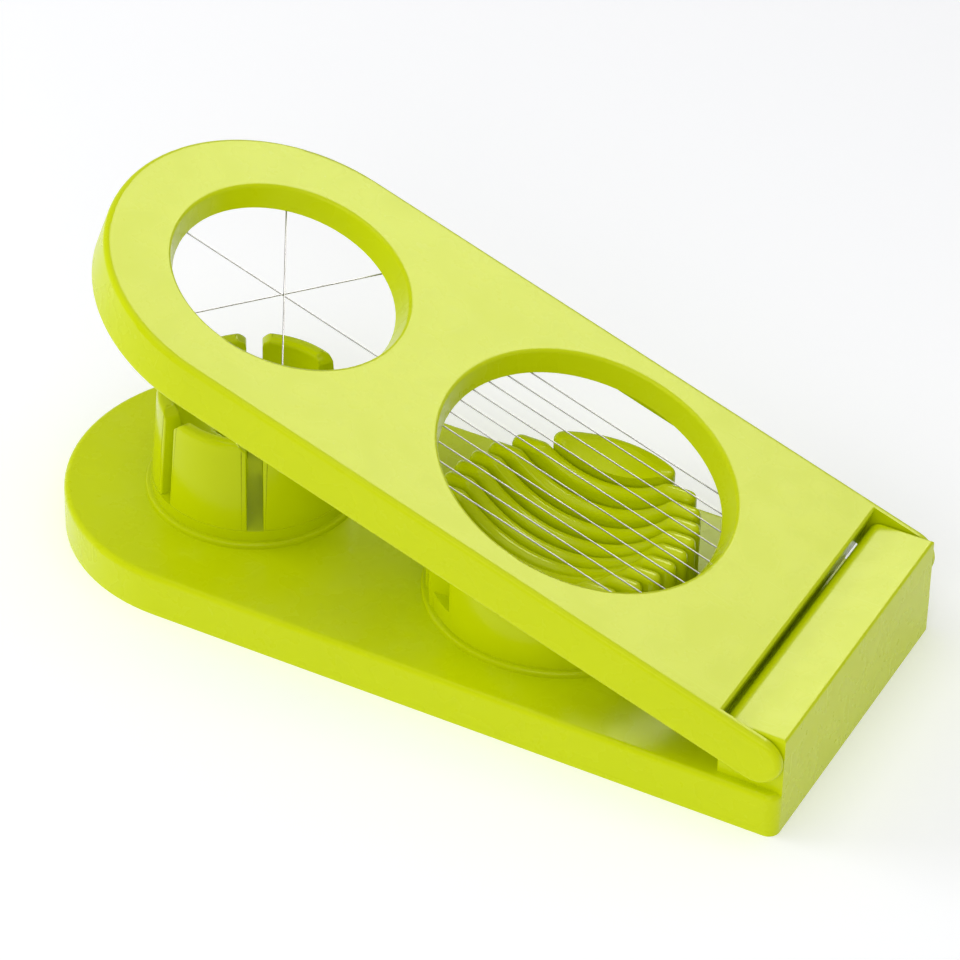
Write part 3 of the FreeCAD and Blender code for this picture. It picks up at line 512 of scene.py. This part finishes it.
def slice_off(piece, point, outward):
    """Cuts a solid with a plane, drops the side that outward points to, and closes the cut."""
    make_active(piece)
    bpy.ops.object.mode_set(mode="EDIT")
    bpy.ops.mesh.select_all(action="SELECT")
    bpy.ops.mesh.bisect(plane_co=point, plane_no=outward, use_fill=True, clear_outer=True)
    finish_solid()


def apply_modifier(piece, kind, **settings):
    make_active(piece)
    modifier = piece.modifiers.new(kind.lower(), kind)
    for name, value in settings.items():
        setattr(modifier, name, value)
    bpy.ops.object.modifier_apply(modifier=modifier.name)


def round_edges(piece, width, segments):
    apply_modifier(piece, "BEVEL", width=width, segments=segments, limit_method="ANGLE",
                   angle_limit=BEVEL_ANGLE, use_clamp_overlap=False, miter_outer="MITER_ARC")


def join_pieces(name, parts):
    """Makes one object of several closed solids and gives it its name."""
    bpy.ops.object.select_all(action="DESELECT")
    for part in parts:
        part.select_set(True)
    bpy.context.view_layer.objects.active = parts[0]
    bpy.ops.object.join()
    parts[0].name = name
    return parts[0]


def combine(first, second, operation):
    """UNION makes one closed skin round both solids; DIFFERENCE carves the second out."""
    apply_modifier(first, "BOOLEAN", operation=operation, solver="EXACT", object=second)
    bpy.data.objects.remove(second)


def smooth_shading(piece):
    make_active(piece)
    bpy.ops.object.shade_smooth_by_angle(angle=SMOOTH_ANGLE)


def place_in_mesh(piece):
    """Puts a piece's place into its mesh and leaves the object at the origin."""
    make_active(piece)
    bpy.ops.object.transform_apply(location=True, rotation=True, scale=True)


def volume_of(piece):
    """The space inside a closed skin, in cubic metres."""
    total = 0.0
    piece.data.calc_loop_triangles()
    for triangle in piece.data.loop_triangles:
        first, second, third = (piece.data.vertices[index].co for index in triangle.vertices)
        total += first.dot(second.cross(third)) / 6.0
    return total


def count_open_edges(piece):
    """Edges that don't lie between exactly two faces; a closed skin has none."""
    uses = {}
    for polygon in piece.data.polygons:
        for key in polygon.edge_keys:
            uses[key] = uses.get(key, 0) + 1
    return sum(1 for number in uses.values() if number != 2)


def report_piece(piece):
    piece.data.calc_loop_triangles()
    print(piece.name, "triangles:", len(piece.data.loop_triangles),
          "open edges:", count_open_edges(piece), "cm3:", round(volume_of(piece) * 1e6, 2))


def cup_centre(node):
    """The middle of a cup's foot, where it stands on the base plate."""
    low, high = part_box(node)
    return Vector(((low[0] + high[0]) / 2, (low[1] + high[1]) / 2, low[2]))


print("modelling helpers ready")

# %% [markdown]
# ## The wedger cup
#
# Six upright petals stand round a shallow bowl, and a thin foot line runs round them. The wires
# of the small window drop into the three slots between the petals. The whole cup could be cut
# with slots, but its edges are soft, so one petal is modelled alone: a solid of revolution is
# sliced by two planes that run beside the slots' middle lines, two more slant its top corners, and
# a bevel rounds all its edges. Its lowest part is sliced off, because the foot fills that space.
# Five copies are turned about the cup's axis and joined to the foot as closed shells of one mesh.

# %% Wedger cup: sizes and half section
wedger_centre = cup_centre("wedger_cup")
wedger_low, wedger_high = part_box("wedger_cup")
WEDGER_HEIGHT = wedger_high[2] - wedger_low[2]
WEDGER_FOOT_RADIUS = (wedger_high[1] - wedger_low[1]) / 2
WEDGER_LOW_RADIUS = WEDGER_FOOT_RADIUS - 1.3 * MM
WEDGER_TOP_RADIUS = WEDGER_FOOT_RADIUS - 3.3 * MM
WEDGER_RIM_WALL = 4.0 * MM
WEDGER_RIM_EDGE = 1.4 * MM
WEDGER_SLOT_WIDTH = 4.0 * MM
WEDGER_SLOT_FLOOR = 4.5 * MM
BOWL_BOTTOM = 11.0 * MM
BOWL_RADIUS = 22.0 * MM
BOWL_MOUTH_RADIUS = 19.4 * MM
PETALS = 6
FOOT_HEIGHT = 1.5 * MM
FOOT_EDGE = 0.7 * MM
HIDDEN_DEPTH = 0.1 * MM
WALL_INSET = 0.05 * MM
ROUND_STEPS = 96
RIM_STEPS = 5
BOWL_STEPS = 14
FOOT_STEPS = 4


def petal_half_section():
    """From the axis out along the bottom, up the wall, over the rim and down into the bowl."""
    bowl_centre = (0.0, BOWL_BOTTOM + BOWL_RADIUS)
    mouth_angle = -math.degrees(math.acos(BOWL_MOUTH_RADIUS / BOWL_RADIUS))
    rim_height = WEDGER_HEIGHT - WEDGER_RIM_EDGE
    outer_x = WEDGER_TOP_RADIUS - WEDGER_RIM_EDGE
    inner_x = WEDGER_TOP_RADIUS - WEDGER_RIM_WALL + WEDGER_RIM_EDGE
    return [
        (0.0, HIDDEN_DEPTH),
        (WEDGER_LOW_RADIUS, HIDDEN_DEPTH),
        *arc_points((outer_x, rim_height), WEDGER_RIM_EDGE, 0.0, 90.0, RIM_STEPS),
        *arc_points((inner_x, rim_height), WEDGER_RIM_EDGE, 90.0, 180.0, RIM_STEPS),
        *arc_points(bowl_centre, BOWL_RADIUS, mouth_angle, -90.0, BOWL_STEPS),
    ]


def foot_half_section(foot_radius, wall_radius, top):
    """A thin round foot with a soft edge, and the wall above it up to the slots' floor."""
    edge_centre = (foot_radius - FOOT_EDGE, FOOT_HEIGHT - FOOT_EDGE)
    return [
        (0.0, 0.0),
        (foot_radius, 0.0),
        *arc_points(edge_centre, FOOT_EDGE, 0.0, 90.0, FOOT_STEPS),
        (wall_radius, FOOT_HEIGHT),
        (wall_radius, top),
        (0.0, top),
    ]


print("wedger cup height", round(WEDGER_HEIGHT, 4), "foot radius", round(WEDGER_FOOT_RADIUS, 4))

# %% Wedger cup: one petal, five copies and the foot
PETAL_CORNER = 1.5 * MM
PETAL_BASE = 1.3 * MM
PETAL_ROUNDING = 0.40 * MM
ROUNDING_STEPS = 4


def turn_in_mesh(piece, angle):
    """Turns a piece's mesh about the cup's upright axis."""
    make_active(piece)
    bpy.ops.object.mode_set(mode="EDIT")
    bpy.ops.mesh.select_all(action="SELECT")
    bpy.ops.transform.rotate(value=angle, orient_axis="Z", center_override=wedger_centre)
    bpy.ops.object.mode_set(mode="OBJECT")


def make_petal():
    """The petal between the slots at 0 and 60 degrees, sliced where its middle lies along +X."""
    petal = turn_round("petal", petal_half_section(), wedger_centre, ROUND_STEPS)
    half_turn = math.pi / PETALS
    down = Vector((0.0, 0.0, -1.0))
    for side in (-1, 1):
        outward = Vector((-math.sin(half_turn), side * math.cos(half_turn), 0.0))
        slot_face = wedger_centre - outward * WEDGER_SLOT_WIDTH / 2
        slice_off(petal, slot_face, outward)
        slant = (outward - down).normalized()
        slice_off(petal, slot_face - down * WEDGER_HEIGHT - slant * PETAL_CORNER, slant)
    round_edges(petal, PETAL_ROUNDING, ROUNDING_STEPS)
    slice_off(petal, wedger_centre - down * PETAL_BASE, down)
    turn_in_mesh(petal, half_turn)
    return petal


def make_wedger():
    petals = [make_petal()]
    for number in range(1, PETALS):
        make_active(petals[0])
        bpy.ops.object.duplicate(linked=False)
        petals.append(bpy.context.object)
        turn_in_mesh(petals[-1], number * math.tau / PETALS)
    foot_section = foot_half_section(
        WEDGER_FOOT_RADIUS, WEDGER_LOW_RADIUS - WALL_INSET, WEDGER_SLOT_FLOOR)
    foot = turn_round("wedger_foot", foot_section, wedger_centre, ROUND_STEPS)
    cup = join_pieces("wedger_cup_petals", [foot, *petals])
    smooth_shading(cup)
    place_in_mesh(cup)
    return cup


wedger = make_wedger()
wedger.data.materials.clear()
wedger.data.materials.append(cup_plastic)
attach(wedger, "base")
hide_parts("wedger_cup")
report_piece(wedger)

# %% [markdown]
# ## The slicer cup
#
# Nine slats stand between the ten wires, and a solid wall closes the cup at each side. Seen from
# the side, each slat dips in the arc of the egg's hollow and ends in a round knob, like a
# fingertip. The hollow is widest in the middle, so each slat has its own outline, which a formula
# gives. The ends follow the cup's round wall, and a wide bevel makes the slats look soft. The
# side walls take part in the egg's bed too: a spindle is carved out of each and leaves a thin rim.

# %% Slicer cup: sizes
slicer_centre = cup_centre("slicer_cup")
slicer_low, slicer_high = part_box("slicer_cup")
SLICER_HEIGHT = slicer_high[2] - slicer_low[2]
SLICER_FOOT_RADIUS = (slicer_high[1] - slicer_low[1]) / 2
SLICER_WALL_RADIUS = SLICER_FOOT_RADIUS - 1.4 * MM
SLICER_SLOT_FLOOR = 6.5 * MM
SLOT_WIDTH = 0.8 * MM
HOLLOW_BOTTOM = 11.0 * MM
HOLLOW_HALF_WIDTH = 25.0 * MM
HOLLOW_HALF_LENGTH = 28.4 * MM
KNOB_RADIUS = 3.6 * MM
wire_boxes = [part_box(f"slicer_wire_{number:02d}") for number in range(1, 11)]
wire_lines = sorted((low[1] + high[1]) / 2 for low, high in wire_boxes)
SLATS = len(wire_lines) - 1
print("slats:", SLATS, "wire spacing:", round(wire_lines[1] - wire_lines[0], 5))

# %% Slicer cup: the outline of one slat
def arc_radius(half_chord, rise):
    return (half_chord ** 2 + rise ** 2) / (2 * rise)


KNOB_STEPS = 6
SWEEP_STEPS = 22
HOLLOW_DROP = SLICER_HEIGHT - HOLLOW_BOTTOM
HOLLOW_RADIUS = arc_radius(HOLLOW_HALF_WIDTH, HOLLOW_DROP)
HOLLOW_SWEEP = arc_radius(HOLLOW_HALF_LENGTH, HOLLOW_DROP)


def slat_corners(offset, front):
    """The slat at a given distance from the cup's middle, drawn in an upright plane."""
    hollow = math.sqrt(HOLLOW_SWEEP ** 2 - offset ** 2) - HOLLOW_SWEEP + HOLLOW_RADIUS
    axis_height = HOLLOW_BOTTOM + HOLLOW_RADIUS
    knob_height = SLICER_HEIGHT - KNOB_RADIUS
    knob_x = math.sqrt((hollow + KNOB_RADIUS) ** 2 - (axis_height - knob_height) ** 2)
    end_x = math.sqrt(SLICER_WALL_RADIUS ** 2 - offset ** 2)
    meet = math.degrees(math.atan2(axis_height - knob_height, knob_x))
    right_knob = arc_points((knob_x, knob_height), KNOB_RADIUS, 90.0, 180.0 - meet, KNOB_STEPS)
    sweep = arc_points((0.0, axis_height), hollow, -meet, meet - 180.0, SWEEP_STEPS)
    left_knob = arc_points((-knob_x, knob_height), KNOB_RADIUS, meet, 90.0, KNOB_STEPS)
    flat = [(-end_x, HIDDEN_DEPTH), (end_x, HIDDEN_DEPTH), (end_x, SLICER_HEIGHT)]
    flat += right_knob + sweep[1:-1] + left_knob + [(-end_x, SLICER_HEIGHT)]
    return [(slicer_centre.x + across, front, slicer_centre.z + height) for across, height in flat]


print("corners in a slat's outline:", len(slat_corners(0.0, 0.0)))

# %% Slicer cup: slats, side walls and foot
SLAT_ROUNDING = 2.1 * MM
SIDE_TIP = 2.5 * MM
SIDE_ROUNDING = 1.3 * MM
SIDE_ROUNDING_STEPS = 5
SIDE_TIP_STEPS = 8
LONG_ARC_STEPS = 40
RIM_WALL = 2.4 * MM


def make_slat(number):
    front = wire_lines[number] + SLOT_WIDTH / 2
    width = wire_lines[number + 1] - wire_lines[number] - SLOT_WIDTH
    offset = front + width / 2 - slicer_centre.y
    slat = push_out(f"slat_{number + 1}", slat_corners(offset, front), (0.0, width, 0.0))
    round_edges(slat, SLAT_ROUNDING, ROUNDING_STEPS)
    return slat


def make_hollow():
    """The egg's bed as one solid: a spindle that lies across the slats."""
    sweep = arc_radius(SLICER_WALL_RADIUS - RIM_WALL, HOLLOW_DROP)
    tip = math.degrees(math.asin(math.sqrt(sweep ** 2 - (sweep - HOLLOW_RADIUS) ** 2) / sweep))
    flat = arc_points((HOLLOW_RADIUS - sweep, 0.0), sweep, -tip, tip, LONG_ARC_STEPS)
    hollow = turn_round("egg_bed", [(0.0, flat[0][1]), *flat[1:-1], (0.0, flat[-1][1])],
                        Vector((0.0, 0.0, 0.0)), ROUND_STEPS)
    make_active(hollow)
    bpy.ops.transform.rotate(value=math.pi / 2, orient_axis="X", center_override=(0.0, 0.0, 0.0))
    bpy.ops.transform.translate(value=(slicer_centre.x, slicer_centre.y,
                                       slicer_centre.z + HOLLOW_BOTTOM + HOLLOW_RADIUS))
    return hollow


def make_side(side):
    """The solid wall beyond the outermost wire, a segment of the cup's circle."""
    inside = abs(wire_lines[0] - slicer_centre.y) + SLOT_WIDTH / 2
    tip_y = inside + SIDE_TIP
    tip_x = math.sqrt((SLICER_WALL_RADIUS - SIDE_TIP) ** 2 - tip_y ** 2)
    reach = math.degrees(math.atan2(tip_y, tip_x))
    flat = arc_points((tip_x, tip_y), SIDE_TIP, -90.0, reach, SIDE_TIP_STEPS)
    flat += arc_points((0.0, 0.0), SLICER_WALL_RADIUS, reach, 180.0 - reach, LONG_ARC_STEPS)[1:-1]
    flat += arc_points((-tip_x, tip_y), SIDE_TIP, 180.0 - reach, 270.0, SIDE_TIP_STEPS)
    corners = [(slicer_centre.x + across, slicer_centre.y + side * along, slicer_centre.z + HIDDEN_DEPTH)
               for across, along in flat]
    wall = push_out("side_wall", corners, (0.0, 0.0, SLICER_HEIGHT - HIDDEN_DEPTH))
    round_edges(wall, SIDE_ROUNDING, SIDE_ROUNDING_STEPS)
    combine(wall, make_hollow(), "DIFFERENCE")
    return wall


def make_slicer():
    foot_section = foot_half_section(
        SLICER_FOOT_RADIUS, SLICER_WALL_RADIUS - WALL_INSET, SLICER_SLOT_FLOOR)
    cup = turn_round("slicer_cup_slats", foot_section, slicer_centre, ROUND_STEPS)
    for number in range(SLATS):
        combine(cup, make_slat(number), "UNION")
    for side in (-1, 1):
        combine(cup, make_side(side), "UNION")
    smooth_shading(cup)
    place_in_mesh(cup)
    return cup


slicer = make_slicer()
slicer.data.materials.clear()
slicer.data.materials.append(cup_plastic)
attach(slicer, "base")
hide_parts("slicer_cup")
report_piece(slicer)

# %% [markdown]
# ## Finishes for the parts that keep their CAD shape
#
# The shells, carriers, wires, pins, screws and sleeves already have their true shape. They only
# get a finish. A node's name says what it is, so a short table of name beginnings is enough.

# %% Give each CAD node its finish
NODE_FINISHES = (
    ("base_shell", shell_plastic),
    ("lid_shell", shell_plastic),
    ("wedge_wire_ring", carrier_plastic),
    ("slicer_wire_frame", carrier_plastic),
    ("wedge_wire_", wire_steel),
    ("slicer_wire_", wire_steel),
    ("wedge_ferrules", sleeve_nickel),
    ("slicer_ferrules", sleeve_nickel),
    ("hinge_pin_", pin_steel),
    ("cup_screws", screw_zinc),
    ("lid_screws", screw_zinc),
    ("wedger_cup", cup_plastic),
    ("slicer_cup", cup_plastic),
)


def finish_of(node):
    return next(material for beginning, material in NODE_FINISHES if node.startswith(beginning))


for node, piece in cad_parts.items():
    if not piece.material_slots:
        piece.data.materials.append(None)
    for place in piece.material_slots:
        place.material = finish_of(node)
print("finished nodes:", len(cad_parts))
